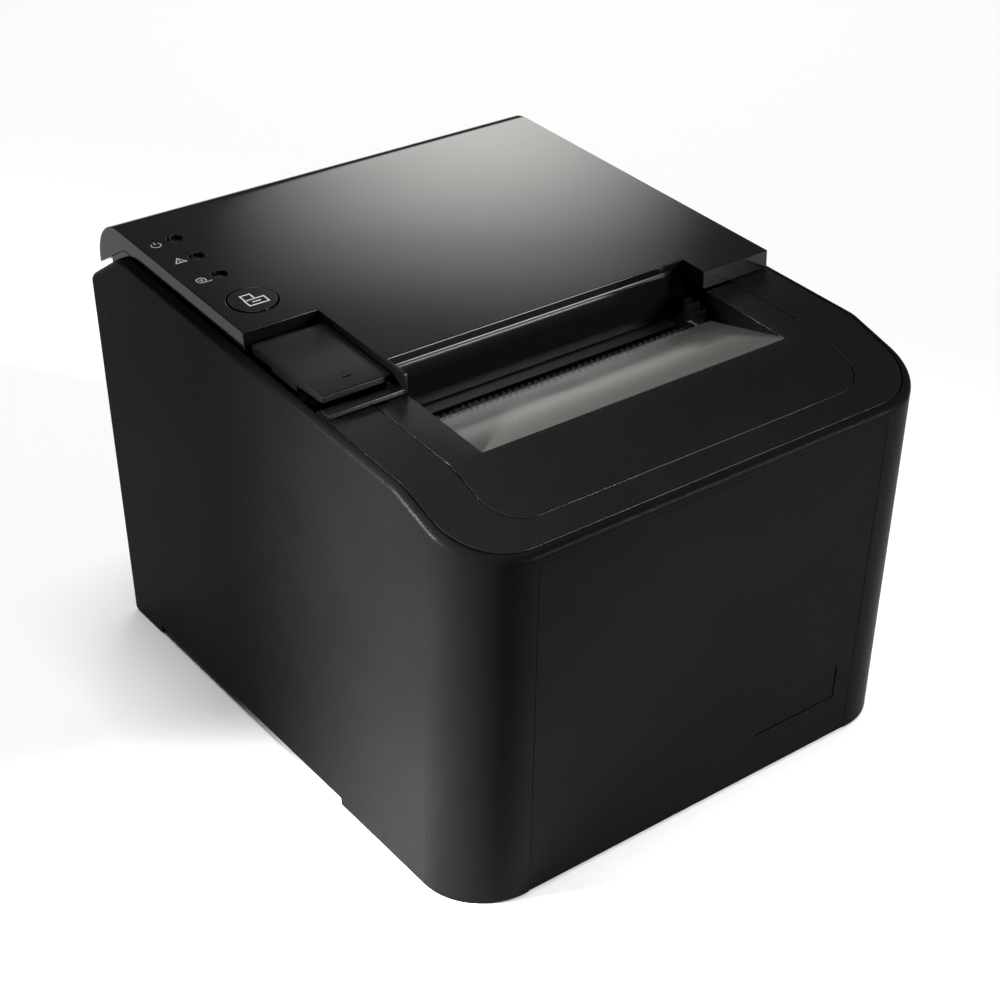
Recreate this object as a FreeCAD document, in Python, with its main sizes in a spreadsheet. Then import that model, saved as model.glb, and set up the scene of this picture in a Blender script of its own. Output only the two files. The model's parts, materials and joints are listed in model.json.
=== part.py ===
import FreeCAD, Part
import math
import os
import re

import Sketcher
from fcgear import fcgear, involute

os.makedirs("parts", exist_ok=True)
V = FreeCAD.Vector

# ---------------------------------------------------------------- driving dimensions, millimetres
# "back" values are measured rearwards from the front face, heights from the surface it stands on.
DIMENSIONS = {
    "body_width": 145, "body_depth": 184.5, "side_draft": 0.012, "draft_height": 110,
    "front_lean": 0.065, "lip_height": 103, "corner_radius": 18, "wall": 2.2,
    "shell_base": 0.8, "shell_reach": 130, "skirt_raise": 2.1, "skirt_front": 64, "skirt_rear": 167,
    "ridge_back": 30.5, "ridge_height": 113.4, "deck_slope": 0.0837, "lip_slope": 0.337,
    "crest_back": 164.6, "rear_rim_height": 113.3, "crest_radius": 14, "rim_radius": 2.0,
    "seam": 0.25, "panel_width": 109, "panel_top": 100.5, "panel_thick": 2.4, "flange": 2,
    "badge_left": 19.6, "badge_right": 48.6, "badge_low": 14.5, "badge_high": 25.4, "badge_sink": 0.7,
    "bezel_front": 2.45, "bezel_thick": 2.4, "bezel_rear": 67,
    "tongue_width": 114, "tongue_front": 9.3, "tongue_radius": 10, "ear_rear": 60.9,
    "chute_width": 95, "chute_rear": 58.5, "chute_rear_height": 108.3, "chute_thick": 2.0,
    "cover_half": 69.8, "cover_front": 61.4, "cover_gap": 0.4, "cover_rise": 5.45, "cover_rear": 183,
    "cover_roll": 13, "cover_wall": 2.2, "cover_tail": 116.6, "bay_half": 47, "bay_rear": 70,
    "mouth_low": 106.4, "mouth_roll": 4, "hinge_back": 168, "hinge_height": 117, "hinge_swing": 17.3,
    "hinge_pin_radius": 2.5, "hinge_lug_radius": 7, "hinge_lug_thick": 3.2, "pin_clear": 0.06,
    "key_slot_inner": 48.2, "key_slot_rear": 100.6, "key_ledge": 1.2, "key_ledge_depth": 3,
    "key_outer": 68.4, "key_inner": 48.7, "key_front": 66, "key_rear": 96, "key_drop": 1.6,
    "key_axle_back": 98.5, "key_axle_radius": 1.2, "key_underside": 118.4, "key_round": 0.5,
    "panel_x": 59.2, "lens_first": 131.2, "lens_pitch": 12.35, "lens_radius": 2.1, "lens_sink": 0.9,
    "feed_back": 114, "feed_radius": 6.5, "feed_clear": 0.32, "feed_stand": 0.2, "feed_travel": 0.8,
    "tray_thick": 2.2, "tray_half": 69.5, "tray_front": 11, "tray_rear": 181.4,
    "foot_radius": 7, "foot_height": 2, "foot_x": 56, "foot_front": 24, "foot_rear": 166,
    "rear_thick": 2.5, "rear_top": 111.6, "port_half": 50, "port_low": 9.5, "port_high": 30,
    "port_plate": 1.0, "board_low": 8, "board_thick": 1.6, "board_half": 62, "board_front": 92,
    "board_rear": 180.4, "socket_depth": 16, "post_radius": 3.2,
    "platen_back": 76, "platen_height": 96, "platen_radius": 6.5, "platen_half": 40.5,
    "shaft_radius": 2.5, "bush_radius": 4, "bush_clear": 0.3, "gear_low": 52.4, "gear_width": 4.6,
    "gear_module": 1, "platen_teeth": 18, "idler_teeth": 36, "pinion_teeth": 12, "mesh_slack": 0.16,
    "axle_radius": 2, "latch_back": 38, "latch_height": 71, "latch_pin_radius": 1.5,
    "plate_x": 48.8, "plate_thick": 1.2, "plate_front": 30, "plate_rear": 92,
    "plate_low": 8, "plate_top": 103.6, "motor_radius": 17.5, "motor_length": 20, "motor_lean": 221.4,
    "head_tilt": 25.85, "head_gap": 0.12, "head_thick": 1, "sink_thick": 6, "head_half": 40,
    "blade_low": 104.1, "blade_thick": 0.8, "blade_half": 41, "blade_rear": 60, "blade_front": 38,
    "blade_travel": 9, "blade_dip": 3, "cutter_front": 20, "cutter_rear": 57, "cutter_thick": 2.4,
    "cutter_module": 0.8, "cutter_teeth": 14, "cutter_x": -24, "cutter_back": 31, "cutter_slack": 0.12,
    "cutter_motor_radius": 9.8, "cutter_motor_length": 22,
    "roll_radius": 42, "roll_back": 125, "roll_height": 66, "bucket_half": 41.5, "bucket_wall": 2,
    "bucket_top": 97, "pillar_top": 23.1,
    "screw_radius": 1.2, "screw_head": 2.6, "screw_seat": 2.2, "screw_gap": 0.05,
    "parts_back": 118, "buzzer_x": -52, "buzzer_radius": 4.5, "buzzer_height": 5,
    "capacitor_x": 50, "capacitor_radius": 5, "capacitor_height": 11,
    "chip_front": 104, "chip_thick": 1.6, "main_chip_x": 8, "main_chip_side": 14,
    "drive_chip_x": -22, "drive_chip_length": 12, "drive_chip_width": 8,
    "plug_depth": 11, "socket_gap": 0.15, "dc_radius": 4.6, "dc_height": 6.4,
    "switch_x": 61, "switch_half": 6.4, "switch_low": 16.6, "switch_high": 37.4, "switch_depth": 12,
    "well_half": 4.6, "well_low": 18.4, "well_high": 35.6, "well_depth": 8,
    "rocker_height": 27, "rocker_inset": 3.5, "rocker_half": 4.2, "rocker_pin_radius": 1, "rocker_reach": 5.5,
    "brace_front": 50, "brace_rear": 52, "brace_low": 79, "brace_high": 93, "spring_half": 4,
    "vent_first": -30, "vent_pitch": 6, "vent_width": 3, "vent_low": 52, "vent_high": 66,
    "bar_low": 105.3, "tooth_root": 108.4, "tooth_tip": 109.4, "bar_thick": 0.7,
    "fixed_front": 65.4, "fixed_rear": 72.2, "blade_gap": 0.1, "fixed_thick": 1.2,
    "cheek_thick": 1.4, "sensor_front": 84.2, "sensor_rear": 88, "sensor_low": 78, "sensor_high": 83,
}

doc = FreeCAD.newDocument("receipt_printer")
sheet = doc.addObject("Spreadsheet::Sheet", "dim")
for row, (alias, size) in enumerate(DIMENSIONS.items(), start=1):
    sheet.set(f"A{row}", alias)
    sheet.set(f"B{row}", str(size))
    sheet.setAlias(f"B{row}", alias)
doc.recompute()

NODES = {}


# ---------------------------------------------------------------- helpers
def expression(text):
    """Turn plain dimension names into references to the sheet."""
    return re.sub(r"[a-z]\w*", lambda m: f"dim.{m[0]}" if m[0] in DIMENSIONS else m[0], str(text))


def value(text):
    return float(sheet.evalExpression(expression(text)))


def bind(item, prop, text):
    item.setExpression(prop, expression(text))


def behind(back):
    """Y of a plane a given distance behind the front face."""
    return f"({back}) - body_depth / 2"


def place(item, x, back, z):
    bind(item, ".Placement.Base.x", x)
    bind(item, ".Placement.Base.y", behind(back))
    bind(item, ".Placement.Base.z", z)
    return item


def turn(item, axis, degrees):
    item.Placement.Rotation = FreeCAD.Rotation(axis, value(degrees))
    return item


def box(name, low, high):
    """Box between two opposite corners, each given as (x, back, z)."""
    item = doc.addObject("Part::Box", name)
    for prop, a, b in zip(("Length", "Width", "Height"), low, high):
        bind(item, prop, f"({b}) - ({a})")
    return place(item, *low)


def tilted_box(name, low, high, pivot, degrees):
    """Box in a frame that is turned about X at the pivot (back, z)."""
    item = doc.addObject("Part::Box", name)
    for prop, a, b in zip(("Length", "Width", "Height"), low, high):
        bind(item, prop, f"({b}) - ({a})")
    turn(item, V(1, 0, 0), degrees)
    tilt = f"({degrees}) * 1deg"
    place(item, low[0],
          f"({pivot[0]}) + ({low[1]}) * cos({tilt}) - ({low[2]}) * sin({tilt})",
          f"({pivot[1]}) + ({low[1]}) * sin({tilt}) + ({low[2]}) * cos({tilt})")
    return item


def rod_x(name, radius, x_low, x_high, back, z):
    item = doc.addObject("Part::Cylinder", name)
    bind(item, "Radius", radius)
    bind(item, "Height", f"({x_high}) - ({x_low})")
    turn(item, V(0, 1, 0), 90)
    return place(item, x_low, back, z)


def rod_z(name, radius, x, back, z_low, z_high):
    item = doc.addObject("Part::Cylinder", name)
    bind(item, "Radius", radius)
    bind(item, "Height", f"({z_high}) - ({z_low})")
    return place(item, x, back, z_low)


def rod_normal(name, radius, back, low, high):
    """Rod square to the cover top; low and high are measured from that surface."""
    tilt = math.degrees(math.atan(value("deck_slope")))
    item = doc.addObject("Part::Cylinder", name)
    bind(item, "Radius", radius)
    bind(item, "Height", f"({high}) - ({low})")
    turn(item, V(1, 0, 0), tilt)
    return place(item, "-panel_x", f"({back}) - ({low}) * sin(atan(deck_slope))",
                 cover_top(back, f"({low}) * cos(atan(deck_slope))"))


def rod_y(name, radius, x, back_low, back_high, z):
    item = doc.addObject("Part::Cylinder", name)
    bind(item, "Radius", radius)
    bind(item, "Height", f"({back_high}) - ({back_low})")
    turn(item, V(1, 0, 0), -90)
    return place(item, x, back_low, z)


def prism(name, plane, points, low, high, rounds=None):
    """Pad a closed outline. YZ outlines are (back, z), XY ones (x, back), XZ ones (x, z)."""
    body = doc.addObject("PartDesign::Body", name)
    sketch = body.newObject("Sketcher::SketchObject", f"{name}_outline")
    role = next(o for o in body.Origin.OriginFeatures if o.Role == f"{plane}_Plane")
    sketch.AttachmentSupport = [(role, "")]
    sketch.MapMode = "FlatFace"
    if plane == "YZ":
        points = [(behind(u), v) for u, v in points]
    if plane == "XY":
        points = [(u, behind(v)) for u, v in points]
    corners = [V(value(u), value(v), 0) for u, v in points]
    count = len(corners)
    for i in range(count):
        sketch.addGeometry(Part.LineSegment(corners[i], corners[(i + 1) % count]))
    for i in range(count):
        sketch.addConstraint(Sketcher.Constraint("Coincident", i, 2, (i + 1) % count, 1))
    for i, (u, v) in enumerate(points):
        for kind, text, number in (("DistanceX", u, corners[i].x), ("DistanceY", v, corners[i].y)):
            index = sketch.addConstraint(Sketcher.Constraint(kind, -1, 1, i, 1, number))
            sketch.setExpression(f"Constraints[{index}]", expression(text))
    start = low if plane != "XZ" else f"-({behind(low)})"
    sketch.setExpression(".AttachmentOffset.Base.z", expression(start))
    pad = body.newObject("PartDesign::Pad", f"{name}_pad")
    pad.Profile = sketch
    pad.Reversed = plane == "XZ"
    bind(pad, "Length", f"({high}) - ({low})")
    for index, radius in (rounds or {}).items():
        doc.recompute()
        base = body.Tip
        corner = corners[index]
        names = [f"Edge{n}" for n, edge in enumerate(base.Shape.Edges, start=1)
                 if runs_through(edge, plane, corner)]
        fillet = body.newObject("PartDesign::Fillet", f"{name}_round{index}")
        fillet.Base = (base, names)
        bind(fillet, "Radius", radius)
        body.Tip = fillet
    return body


def runs_through(edge, plane, corner):
    """True for the straight edge that a sketch corner was padded into."""
    if len(edge.Vertexes) != 2:
        return False
    flat = {"YZ": lambda p: (p.y, p.z), "XY": lambda p: (p.x, p.y), "XZ": lambda p: (p.x, p.z)}[plane]
    return all(math.dist(flat(vertex.Point), (corner.x, corner.y)) < 1e-4 for vertex in edge.Vertexes)


def cut(name, base, *tools):
    item = doc.addObject("Part::Cut", name)
    item.Base = base
    item.Tool = tools[0] if len(tools) == 1 else fuse(f"{name}_tools", *tools)
    return item


def fuse(name, *parts):
    item = doc.addObject("Part::MultiFuse", name)
    item.Shapes = list(parts)
    return item


def common(name, *parts):
    item = doc.addObject("Part::MultiCommon", name)
    item.Shapes = list(parts)
    return item


def group(name, *parts):
    """Separate solids that share one node."""
    item = doc.addObject("Part::Compound", name)
    item.Links = list(parts)
    return item


def round_edges(name, base, radius, wanted):
    doc.recompute()
    size = value(radius)
    item = doc.addObject("Part::Fillet", name)
    item.Base = base
    item.Edges = [(n, size, size) for n, edge in enumerate(base.Shape.Edges, start=1) if wanted(edge)]
    return item


def node(label, item):
    item.Label = label
    NODES[label] = item
    return item


def deck(back, above=0):
    """Height of the deck that slopes up to the rear."""
    return f"(ridge_height + deck_slope * (({back}) - ridge_back) + ({above}))"


def lip(back, above=0):
    """Height of the lip that falls from the ridge to the front edge."""
    return f"(ridge_height + lip_slope * (({back}) - ridge_back) + ({above}))"


def cover_top(back, above=0):
    return deck(back, f"cover_rise + ({above})")


def front_face(z, inward=0):
    return f"(front_lean * (lip_height - ({z})) + ({inward}))"


def side_face(z):
    return f"(body_width / 2 + side_draft * (draft_height - ({z})))"


def tapered_block(name, inset, low, high, rear):
    """Block with drafted sides and a leaning front, inset from the outer skin."""
    item = doc.addObject("Part::Wedge", name)
    for prop, z in (("Xmin", low), ("X2min", high)):
        bind(item, prop, f"({inset}) - {side_face(z)}")
    for prop, z in (("Xmax", low), ("X2max", high)):
        bind(item, prop, f"{side_face(z)} - ({inset})")
    for prop, z in (("Zmax", low), ("Z2max", high)):
        bind(item, prop, f"-({behind(front_face(z, inset))})")
    for prop in ("Zmin", "Z2min"):
        bind(item, prop, f"-({behind(rear)})")
    bind(item, "Ymin", low)
    bind(item, "Ymax", high)
    return turn(item, V(1, 0, 0), 90)


def is_front_corner(edge):
    box_ = edge.BoundBox
    return box_.ZLength > value("shell_reach") / 2 and box_.Center.y < 0


# ---------------------------------------------------------------- case
def rim_profile(name, width, above=0):
    """Everything above the deck, lip and rear slope, used as a cutter."""
    high = "shell_reach + 30"
    return prism(name, "YZ", [
        ("-20", lip("-20", above)), ("ridge_back", f"ridge_height + ({above})"),
        ("crest_back", deck("crest_back", above)), ("body_depth", f"rear_rim_height + ({above})"),
        ("body_depth + 20", f"rear_rim_height + ({above}) - 11"),
        ("body_depth + 20", high), ("-20", high)],
        f"-({width})", width, rounds={1: 6, 2: "crest_radius"})


def build_main_shell():
    outer = tapered_block("shell_block", 0, "shell_base", "shell_reach", "body_depth")
    outer = round_edges("shell_rounded", outer, "corner_radius", is_front_corner)
    outer = cut("shell_topped", outer, rim_profile("shell_top", 90))

    def is_rim(edge):
        middle = edge.valueAt((edge.FirstParameter + edge.LastParameter) / 2)
        sideways = abs(middle.x) > value("body_width / 2 - corner_radius - 1")
        front = middle.y < value(behind(2))
        crosses = abs(edge.BoundBox.XLength - value("body_width")) < 4 and not front
        on_rear = middle.y > value(behind("body_depth - 0.5"))
        return middle.z > 100 and (sideways or front) and not crosses and not on_rear

    outer = round_edges("shell_soft", outer, "rim_radius", is_rim)
    inner = tapered_block("shell_core", "wall", -5, "shell_reach + 5", "body_depth + 10")
    inner = round_edges("shell_core_rounded", inner, "corner_radius - wall", is_front_corner)
    window = box("shell_window", ("-panel_width / 2", -5, -1), ("panel_width / 2", 20, "panel_top"))
    skirt = box("shell_skirt", (-90, "skirt_front", -1), (90, "skirt_rear", "shell_base + skirt_raise"))
    bore = rod_x("shell_hinge_bore", "hinge_pin_radius + pin_clear",
                 f"-({side_face('hinge_height')} - 0.6)", f"{side_face('hinge_height')} - 0.6",
                 "hinge_back", "hinge_height")
    node("main_shell", cut("main_shell", outer, inner, window, skirt, bore))


def build_front_panel():
    def slab(name, half, low, high, near, far):
        return prism(name, "YZ", [
            (front_face(low, near), low), (front_face(high, near), high),
            (front_face(high, far), high), (front_face(low, far), low)], f"-({half})", half)

    face = slab("panel_face", "panel_width / 2 - seam / 2", "shell_base + 0.2", "panel_top - seam / 2",
                0, "panel_thick")
    flange = slab("panel_flange", "panel_width / 2 + flange", "tray_thick + 1.2", "panel_top + 0.6",
                  "wall + 0.35", "panel_thick + 1.4")
    recess = prism("badge_recess", "YZ", [
        (front_face("badge_low", -1), "badge_low"), (front_face("badge_high", -1), "badge_high"),
        (front_face("badge_high", "badge_sink"), "badge_high"),
        (front_face("badge_low", "badge_sink"), "badge_low")], "badge_left", "badge_right")
    node("front_panel", cut("front_panel", fuse("panel_whole", face, flange), recess))
    low = "badge_low + 0.15"
    high = "badge_high - 0.15"
    node("badge_plate", prism("badge_plate", "YZ", [
        (front_face(low, 0.25), low), (front_face(high, 0.25), high),
        (front_face(high, "badge_sink"), high), (front_face(low, "badge_sink"), low)],
        "badge_left + 0.15", "badge_right - 0.15"))


def deck_plate(name, half, front, rear, thick):
    """Bent plate whose top follows the lip and the deck."""
    return prism(name, "YZ", [
        (front, lip(front)), ("ridge_back", "ridge_height"), (rear, deck(rear)),
        (rear, deck(rear, f"-({thick})")), ("ridge_back", f"ridge_height - ({thick})"),
        (front, lip(front, f"-({thick})"))], f"-({half})", half)


def rounded_plan(name, half, front, rear, radius):
    return prism(name, "XY", [
        (f"-({half})", front), (half, front), (half, rear), (f"-({half})", rear)],
        60, 140, rounds={0: radius, 1: radius})


def build_bezel():
    half = f"({side_face('ridge_height')} - wall - seam)"
    plate = deck_plate("bezel_plate", half, "bezel_front", "bezel_rear", "bezel_thick")
    plan = rounded_plan("bezel_plan", half, "bezel_front", "bezel_rear + 5",
                        "corner_radius - wall - seam")
    tongue = rounded_plan("bezel_tongue", "tongue_width / 2", "tongue_front", "bezel_rear + 10",
                          "tongue_radius")
    node("front_bezel", cut("front_bezel", common("bezel_trimmed", plate, plan), tongue))


def build_cutter_cover():
    half = "tongue_width / 2 - seam"
    plate = deck_plate("tongue_plate", half, "tongue_front + seam", "ear_rear", "bezel_thick")
    plan = rounded_plan("tongue_plan", half, "tongue_front + seam", "ear_rear + 5",
                        "tongue_radius - seam")
    opening = prism("tongue_opening", "XY", [
        ("-chute_width / 2", "ridge_back"), ("chute_width / 2", "ridge_back"),
        ("chute_width / 2", 80), ("-chute_width / 2", 80)], 60, 140)
    chute = prism("chute_floor", "YZ", [
        ("ridge_back - 0.5", "ridge_height - 0.2"), ("ridge_back", "ridge_height"),
        ("chute_rear", "chute_rear_height"), ("chute_rear", "chute_rear_height - chute_thick"),
        ("ridge_back - 0.5", "ridge_height - chute_thick - 0.5")],
        "-chute_width / 2 - 1", "chute_width / 2 + 1")
    cheeks = [prism(f"chute_cheek_{side}", "YZ", [
        ("ridge_back", "ridge_height - bezel_thick"), ("ridge_back", "ridge_height"),
        ("ear_rear", deck("ear_rear")), ("ear_rear", "chute_rear_height - chute_thick"),
        ("chute_rear", "chute_rear_height - chute_thick")], low, high)
        for side, low, high in (("left", "-chute_width / 2 - cheek_thick", "-chute_width / 2"),
                                ("right", "chute_width / 2", "chute_width / 2 + cheek_thick"))]
    panel = cut("tongue_open", common("tongue_trimmed", plate, plan), opening)
    node("cutter_cover", fuse("cutter_cover", panel, chute, *cheeks))


def build_rear_case():
    wall_ = box("rear_wall", (f"-({side_face('rear_top')} - wall - 0.2)", "body_depth - rear_thick",
                              "shell_base"),
                (f"{side_face('rear_top')} - wall - 0.2", "body_depth", "rear_top"))
    swing = rod_x("rear_swing", "hinge_swing", -80, 80, "hinge_back", "hinge_height")
    ports = box("rear_ports", ("-port_half", "body_depth - 6", "port_low"),
                ("port_half", "body_depth + 1", "port_high"))
    switch = box("rear_switch_hole", ("switch_x - switch_half - 0.2", "body_depth - 6", "switch_low - 0.2"),
                 ("switch_x + switch_half + 0.2", "body_depth + 1", "switch_high + 0.2"))
    vents = []
    for i in range(11):
        left = f"vent_first + {i} * vent_pitch"
        vents.append(box(f"rear_vent_{i}", (left, "body_depth - 6", "vent_low"),
                         (f"{left} + vent_width", "body_depth + 1", "vent_high")))
    drum = rod_x("rear_trough_drum", "hinge_swing + 2", f"-({side_face('rear_top')} - wall - 0.2)",
                 f"{side_face('rear_top')} - wall - 0.2", "hinge_back", "hinge_height")
    sector = box("rear_trough_sector", (-80, "hinge_back", 90), (80, "body_depth - 0.1", "rear_top"))
    whole = fuse("rear_whole", wall_, common("rear_trough", drum, sector))
    node("rear_case", cut("rear_case", whole, swing, ports, switch, *vents))


# ---------------------------------------------------------------- base
def build_base():
    top = "shell_base + tray_thick"
    tray = prism("tray_floor", "XY", [
        ("-tray_half", "tray_front"), ("tray_half", "tray_front"), ("tray_half", "tray_rear"),
        ("-tray_half", "tray_rear")], "shell_base", top, rounds={0: "corner_radius", 1: "corner_radius"})
    ribs = [box(f"tray_rib_{i}", (x, "tray_front + 12", top), (f"({x}) + 2", "tray_rear - 2", f"{top} + 5"))
            for i, x in enumerate(("-tray_half + 1", "tray_half - 3"))]
    posts = [rod_z(f"tray_post_{i}", "post_radius", x, back, top, "board_low")
             for i, (x, back) in enumerate(board_fixings())]
    pillars = [rod_z(f"tray_pillar_{i}", "post_radius", x, back, top, "pillar_top")
               for i, (x, back) in enumerate(pillar_places())]
    sockets = [rod_z(f"tray_foot_{i}", "foot_radius + 0.05", x, back, -1, "foot_height")
               for i, (x, back) in enumerate(foot_places())]
    bores = [rod_z(f"tray_bore_{i}", 1.25, x, back, 4, 20) for i, (x, back) in enumerate(board_fixings())]
    stands = [rod_z(f"chassis_stand_{i}", "post_radius", x, back, top, "plate_low")
              for i, (x, back) in enumerate(chassis_fixings())]
    bores += [rod_z(f"stand_bore_{i}", "screw_radius + screw_gap", x, back, "screw_seat", 20)
              for i, (x, back) in enumerate(chassis_fixings())]
    sinks = [rod_z(f"screw_sink_{i}", "screw_head + 0.3", x, back, -1, "screw_seat")
             for i, (x, back) in enumerate(chassis_fixings())]
    whole = fuse("tray_whole", tray, *ribs, *posts, *pillars, *stands)
    node("base_tray", cut("base_tray", whole, *sockets, *bores, *sinks))
    node("case_screws", group("case_screws", *[
        case_screw(f"case_screw_{i}", x, back) for i, (x, back) in enumerate(chassis_fixings())]))
    node("rubber_feet", group("rubber_feet", *[
        rod_z(f"foot_{i}", "foot_radius", x, back, 0, "foot_height")
        for i, (x, back) in enumerate(foot_places())]))


def pillar_places():
    """Feet of the paper bucket, which stand through the main board."""
    return [(x, back) for x in ("-bucket_half + 6", "bucket_half - 6")
            for back in ("roll_back - 14", "roll_back + 14")]


def foot_places():
    return [(x, back) for x in ("-foot_x", "foot_x") for back in ("foot_front", "foot_rear")]


def board_fixings():
    return [(x, back) for x in ("-board_half + 6", "board_half - 6")
            for back in ("board_front + 6", "board_rear - 22")]


def chassis_fixings():
    return [(x, back) for x in (-41, 41) for back in (36, 61)]


def case_screw(name, x, back):
    """Screw driven from below through the tray into the chassis floor."""
    head = rod_z(f"{name}_head", "screw_head", x, back, "screw_seat - 1.4", "screw_seat")
    shank = rod_z(f"{name}_shank", "screw_radius", x, back, "screw_seat", "plate_low + 2.4")
    slots = [box(f"{name}_slot_{i}", (x - half_x, back - half_y, 0), (x + half_x, back + half_y, "screw_seat - 0.8"))
             for i, (half_x, half_y) in enumerate(((0.4, 2), (2, 0.4)))]
    return cut(name, fuse(f"{name}_blank", head, shank), *slots)


def screw(name, x, back, seat, length, head_radius=2.6, shank_radius=1.2):
    head = rod_z(f"{name}_head", head_radius, x, back, seat, f"({seat}) + 1.6")
    shank = rod_z(f"{name}_shank", shank_radius, x, back, f"({seat}) - ({length})", seat)
    slot = box(f"{name}_slot", (f"({x}) - 0.4", f"({back}) - 3", f"({seat}) + 0.9"),
               (f"({x}) + 0.4", f"({back}) + 3", f"({seat}) + 2"))
    return cut(name, fuse(f"{name}_blank", head, shank), slot)


# ---------------------------------------------------------------- boards and sockets
def chip(name, x, length, width):
    """Chip package lying on the main board."""
    top = "board_low + board_thick"
    return box(name, (x, "chip_front", top),
               (f"{x} + {length}", f"chip_front + {width}", f"{top} + chip_thick"))


def build_electronics():
    top = "board_low + board_thick"
    board = box("board_blank", ("-board_half", "board_front", "board_low"),
                ("board_half", "board_rear", top))
    holes = [rod_z(f"board_hole_{i}", 1.6, x, back, 0, 20) for i, (x, back) in enumerate(board_fixings())]
    holes += [rod_z(f"board_pass_{i}", "post_radius + 0.3", x, back, 0, 20)
              for i, (x, back) in enumerate(pillar_places())]
    node("main_board", cut("main_board", board, *holes))
    node("board_screws", group("board_screws", *[
        screw(f"board_screw_{i}", x, back, top, 4.8) for i, (x, back) in enumerate(board_fixings())]))
    node("buzzer", rod_z("buzzer", "buzzer_radius", "buzzer_x", "parts_back", top,
                         f"{top} + buzzer_height"))
    node("processor_chips", group("processor_chips",
                                  chip("chip_main", "main_chip_x", "main_chip_side", "main_chip_side"),
                                  chip("chip_drive", "drive_chip_x", "drive_chip_length",
                                       "drive_chip_width")))
    node("capacitor", rod_z("capacitor", "capacitor_radius", "capacitor_x", "parts_back", top,
                            f"{top} + capacitor_height"))

    plate = box("port_blank", ("-port_half - 3", "body_depth - rear_thick - port_plate - 0.1",
                               "board_low + board_thick"),
                ("port_half + 3", "body_depth - rear_thick - 0.1", "port_high + 3"))
    cutters = []
    for label, x, half, height, hollow_half, hollow_low, hollow_high in SOCKETS:
        shell = box(f"{label}_block", (x - half, "body_depth - 1 - socket_depth", top),
                    (x + half, "body_depth - 1", f"{top} + {height}"))
        hollow = box(f"{label}_hollow", (x - hollow_half, "body_depth - plug_depth", f"{top} + {hollow_low}"),
                     (x + hollow_half, "body_depth + 1", f"{top} + {hollow_high}"))
        parts = [hollow]
        if label == "dc_socket":
            parts = [rod_y("dc_round", "dc_radius", x, "body_depth - plug_depth", "body_depth + 1",
                          f"{top} + dc_height")]
        socket = cut(label, shell, *parts)
        node(label, socket)
        cutters.append(box(f"{label}_pass", (f"{x - half} - socket_gap", "body_depth - 8", top),
                           (f"{x + half} + socket_gap", "body_depth + 1", f"{top} + {height} + socket_gap")))
    node("connector_plate", cut("connector_plate", plate, *cutters))

    pivot = "body_depth - rocker_inset"
    frame = box("switch_outer", ("switch_x - switch_half", "body_depth - switch_depth", "switch_low"),
                ("switch_x + switch_half", "body_depth - 0.2", "switch_high"))
    well = box("switch_well", ("switch_x - well_half", "body_depth - well_depth", "well_low"),
               ("switch_x + well_half", "body_depth + 1", "well_high"))
    bores = rod_x("switch_bore", "rocker_pin_radius + screw_gap", "switch_x - rocker_reach - 0.3",
                  "switch_x + rocker_reach + 0.3", pivot, "rocker_height")
    node("switch_frame", cut("switch_frame", frame, well, bores))
    rocker = prism("rocker_body", "YZ", [
        ("body_depth - 5.5", "rocker_height - 3"), ("body_depth - 5.5", "rocker_height + 3"),
        ("body_depth - 0.9", "rocker_height + 7.6"), ("body_depth + 0.3", "rocker_height + 7.4"),
        ("body_depth - 1.6", "rocker_height"), ("body_depth - 1.4", "rocker_height - 7.6"),
        ("body_depth - 2.6", "rocker_height - 7.6")], "switch_x - rocker_half", "switch_x + rocker_half")
    pin = rod_x("rocker_pin", "rocker_pin_radius", "switch_x - rocker_reach", "switch_x + rocker_reach",
                pivot, "rocker_height")
    node("power_rocker", fuse("power_rocker", rocker, pin))


# label, centre x, half width, height, hollow half width, hollow low, hollow high
SOCKETS = (
    ("dc_socket", -38, 7, 13, 4, 3, 10),
    ("usb_socket", -19, 6, 11.4, 4.2, 1.6, 9.8),
    ("lan_socket", 0, 8, 13.4, 5.9, 2, 11),
    ("drawer_socket", 19, 6.6, 12.4, 4.8, 2, 10),
    ("serial_socket", 39, 8.5, 12.4, 6.6, 2.2, 10.2),
)


# ---------------------------------------------------------------- print mechanism
def platen_frame():
    """Unit step from the platen towards the rising path of the cover."""
    arm_back = value("platen_back - hinge_back")
    arm_up = value("platen_height - hinge_height")
    reach = math.hypot(arm_back, arm_up)
    return arm_up / reach, -arm_back / reach


def gear_spots():
    """Centres (back, z) of the idler and the motor pinion."""
    rise_back, rise_up = platen_frame()
    module = value("gear_module")
    slack = value("mesh_slack")
    far = module * value("platen_teeth + idler_teeth") / 2 + slack
    idler = (value("platen_back") - rise_back * far, value("platen_height") - rise_up * far)
    near = module * value("idler_teeth + pinion_teeth") / 2 + slack
    lean = math.radians(value("motor_lean"))
    pinion = (idler[0] + near * math.cos(lean), idler[1] + near * math.sin(lean))
    return idler, pinion


def gear_solid(module, teeth, width, bore, phase):
    """Involute gear about Z with a tooth at the given angle in degrees."""
    wire_builder = fcgear.FCWireBuilder()
    involute.CreateExternalGear(wire_builder, module, int(teeth), 20, True)
    wire = Part.Wire([piece.toShape() for piece in wire_builder.wire])
    wire.rotate(V(0, 0, 0), V(0, 0, 1), phase)
    blank = Part.Face(wire).extrude(V(0, 0, width))
    return blank.cut(Part.makeCylinder(bore, width + 2, V(0, 0, -1)))


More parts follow.
